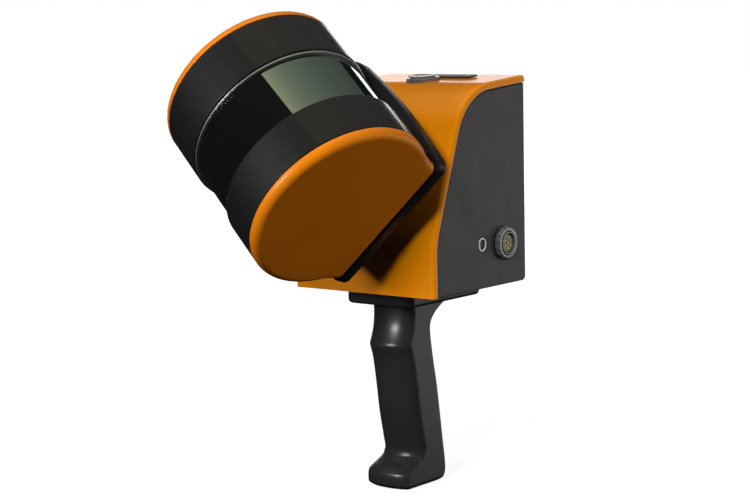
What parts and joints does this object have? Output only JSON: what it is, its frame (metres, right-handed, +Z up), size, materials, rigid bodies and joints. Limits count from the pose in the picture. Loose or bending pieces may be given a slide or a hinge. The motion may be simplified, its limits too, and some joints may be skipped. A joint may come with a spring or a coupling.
{
  "type": "handheld laser scanner",
  "caption": "Handheld laser scanner: a drum-shaped laser head on a motor-driven tilted axis, a box body with a power button and a side connector, and a pistol grip.",
  "frame": {"origin": "middle of the flat foot at the bottom of the handle", "axes": "+Z up along the handle, -Y forwards to the scanning head, +X to the side with the connector"},
  "size_m": [0.1492, 0.2125, 0.2836],
  "materials": {
    "orange_shell": "satin orange coat",
    "charcoal_cover": "fine satin charcoal",
    "black_plastic": "satin black",
    "gloss_black": "polished black",
    "dark_glass": "polished, near-black infrared filter glass",
    "steel": "fine turned",
    "aluminium": "machined",
    "brass": "machined",
    "board_green": "solder mask",
    "pale_plastic": "smooth"
  },
  "bodies": {
    "scanner_body": {"front_shell": "orange_shell", "side_panel_left": "charcoal_cover", "side_panel_right": "charcoal_cover", "rear_cover": "charcoal_cover", "base_plate": "charcoal_cover", "handle_flange": "black_plastic", "handle_grip": "black_plastic", "handle_screw_1": "steel", "handle_screw_2": "steel", "handle_screw_3": "steel", "handle_screw_4": "steel", "button_bezel": "steel", "button_switch": "black_plastic", "button_spring": "steel", "accessory_plate": "black_plastic", "connector_barrel": "steel", "connector_nut": "steel", "connector_insert": "pale_plastic", "connector_contacts": "brass", "port_icon": "pale_plastic", "bulkhead": "aluminium", "neck_collar": "black_plastic", "bearing_housing": "aluminium", "front_bearing_outer": "steel", "rear_bearing_outer": "steel", "drive_motor": "steel", "motor_clamp": "aluminium", "encoder_reader": "black_plastic", "slip_ring_stator": "black_plastic", "slip_ring_bracket": "aluminium", "main_board": "board_green", "motion_sensor": "aluminium"},
    "scan_head": {"near_cap": "orange_shell", "far_cap": "orange_shell", "near_band": "black_plastic", "far_band": "black_plastic", "window_trim": "steel", "window_glass": "dark_glass", "bracket_plate": "gloss_black", "neck_hub": "black_plastic", "hollow_shaft": "steel", "front_bearing_inner": "steel", "rear_bearing_inner": "steel", "drive_gear": "brass", "encoder_disc": "steel", "slip_ring_rotor": "brass", "laser_base": "aluminium", "laser_spindle": "steel", "spindle_plate": "aluminium"},
    "laser_rotor": {"rotor_frame": "aluminium", "emitter_bank": "board_green", "receiver_bank": "board_green", "emitter_lens": "dark_glass", "receiver_lens": "dark_glass"},
    "motor_pinion": {"motor_pinion": "steel"},
    "front_ball_cage": {"front_ball_cage": "brass"},
    "rear_ball_cage": {"rear_ball_cage": "brass"},
    "power_button": {"button_cap": "steel"}
  },
  "joints": [
    {"name": "head_spin", "type": "hinge", "parent": "scanner_body", "child": "scan_head", "pos_m": [0, -0.0941, 0.2092], "axis": [0, -0.9563, 0.2924], "continuous": true},
    {"name": "laser_rotor_spin", "type": "hinge", "parent": "scan_head", "child": "laser_rotor", "pos_m": [0, -0.0941, 0.2092], "axis": [0.766, -0.1879, -0.6147], "continuous": true},
    {"name": "pinion_spin", "type": "hinge", "parent": "scanner_body", "child": "motor_pinion", "pos_m": [0, 0.03331, 0.20183], "axis": [0, -0.9563, 0.2924], "continuous": true},
    {"name": "front_cage_orbit", "type": "hinge", "parent": "scanner_body", "child": "front_ball_cage", "pos_m": [0, -0.00086, 0.18069], "axis": [0, -0.9563, 0.2924], "continuous": true},
    {"name": "rear_cage_orbit", "type": "hinge", "parent": "scanner_body", "child": "rear_ball_cage", "pos_m": [0, 0.01348, 0.17631], "axis": [0, -0.9563, 0.2924], "continuous": true},
    {"name": "power_button_press", "type": "slide", "parent": "scanner_body", "child": "power_button", "axis": [0, 0.0785, -0.9969], "range_m": [0, 0.0012], "stiffness_N_per_m": 1200, "springref_m": -0.001, "deforming": ["button_spring"]}
  ],
  "couplings": [
    {"joint": "pinion_spin", "follows": "head_spin", "ratio": -4},
    {"joint": "front_cage_orbit", "follows": "head_spin", "ratio": 0.4471},
    {"joint": "rear_cage_orbit", "follows": "head_spin", "ratio": 0.4471}
  ]
}
